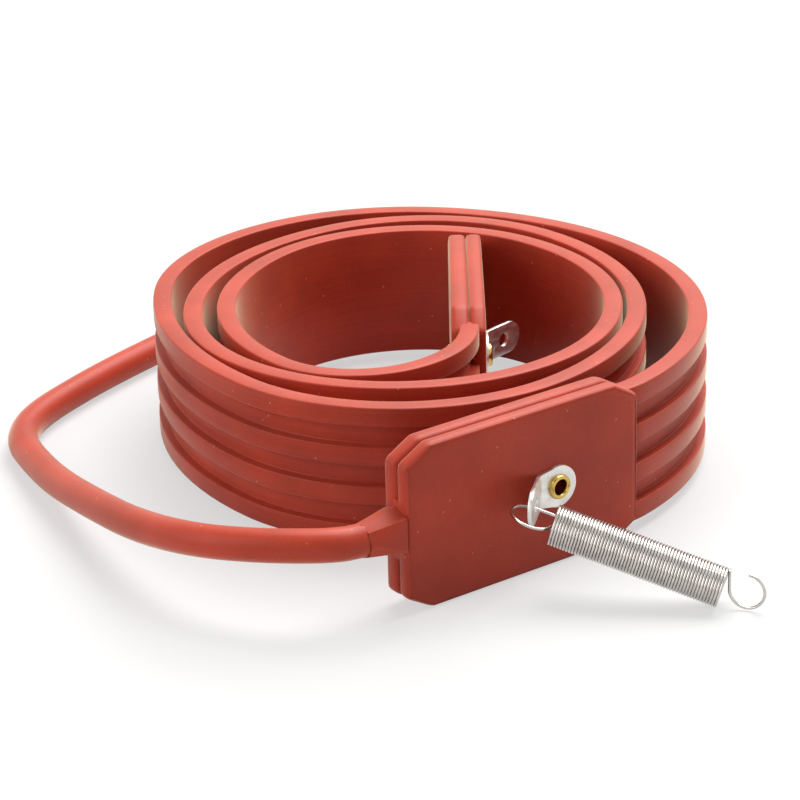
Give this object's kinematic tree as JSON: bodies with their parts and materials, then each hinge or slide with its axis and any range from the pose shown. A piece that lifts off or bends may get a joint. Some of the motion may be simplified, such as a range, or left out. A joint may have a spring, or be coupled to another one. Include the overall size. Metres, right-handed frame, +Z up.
{
  "type": "crankcase heater belt",
  "caption": "Ribbed silicone heating belt wound into a loose coil, with moulded end blocks, angled hook lugs on brass eyelets, a tension spring and a supply lead.",
  "frame": {"origin": "under the middle of the coil with its blocks and spring, on the plane that it stands on", "axes": "+Z up, along the coil's axis and across the strip's width; +X along the outer end block, from the lead's exit towards the strip; -Y out of the block's lug side"},
  "size_m": [0.185, 0.2336, 0.035],
  "materials": {
    "strip_silicone": "extruded silicone rubber, satin",
    "block_silicone": "moulded silicone rubber, satin",
    "lead_silicone": "extruded silicone sheath, smooth",
    "eyelet_brass": "drawn brass, bright",
    "lug_steel": "pressed sheet, nickel plated",
    "spring_steel": "drawn stainless wire, bright",
    "heating_core": "resistance wire wound on a glass fibre core",
    "tinned_copper": "tinned copper",
    "core_blue": "insulated core",
    "core_brown": "insulated core"
  },
  "bodies": {
    "belt": {"heater_strip": "strip_silicone", "outer_block_front": "block_silicone", "outer_block_back": "block_silicone", "inner_block_front": "block_silicone", "inner_block_back": "block_silicone", "outer_eyelet": "eyelet_brass", "inner_eyelet": "eyelet_brass", "outer_lug": "lug_steel", "inner_lug": "lug_steel", "strain_relief": "lead_silicone", "lead": "lead_silicone", "lead_coil": "lead_silicone", "lead_blue_core": "core_blue", "lead_brown_core": "core_brown", "lead_blue_ferrule": "tinned_copper", "lead_brown_ferrule": "tinned_copper", "inner_link": "heating_core", "outer_core_upper": "heating_core", "outer_sleeve_upper": "tinned_copper", "outer_core_lower": "heating_core", "outer_sleeve_lower": "tinned_copper", "inner_core_upper": "heating_core", "inner_sleeve_upper": "tinned_copper", "inner_core_lower": "heating_core", "inner_sleeve_lower": "tinned_copper", "outer_lead_core_upper": "core_brown", "outer_lead_core_lower": "core_blue"},
    "spring": {"tension_spring": "spring_steel"}
  },
  "joints": [
    {"name": "spring_swing", "type": "hinge", "parent": "belt", "child": "spring", "pos_m": [-0.02926, -0.05031, 0.01655], "axis": [0, 0, 1], "range_deg": [-30, 30]}
  ]
}
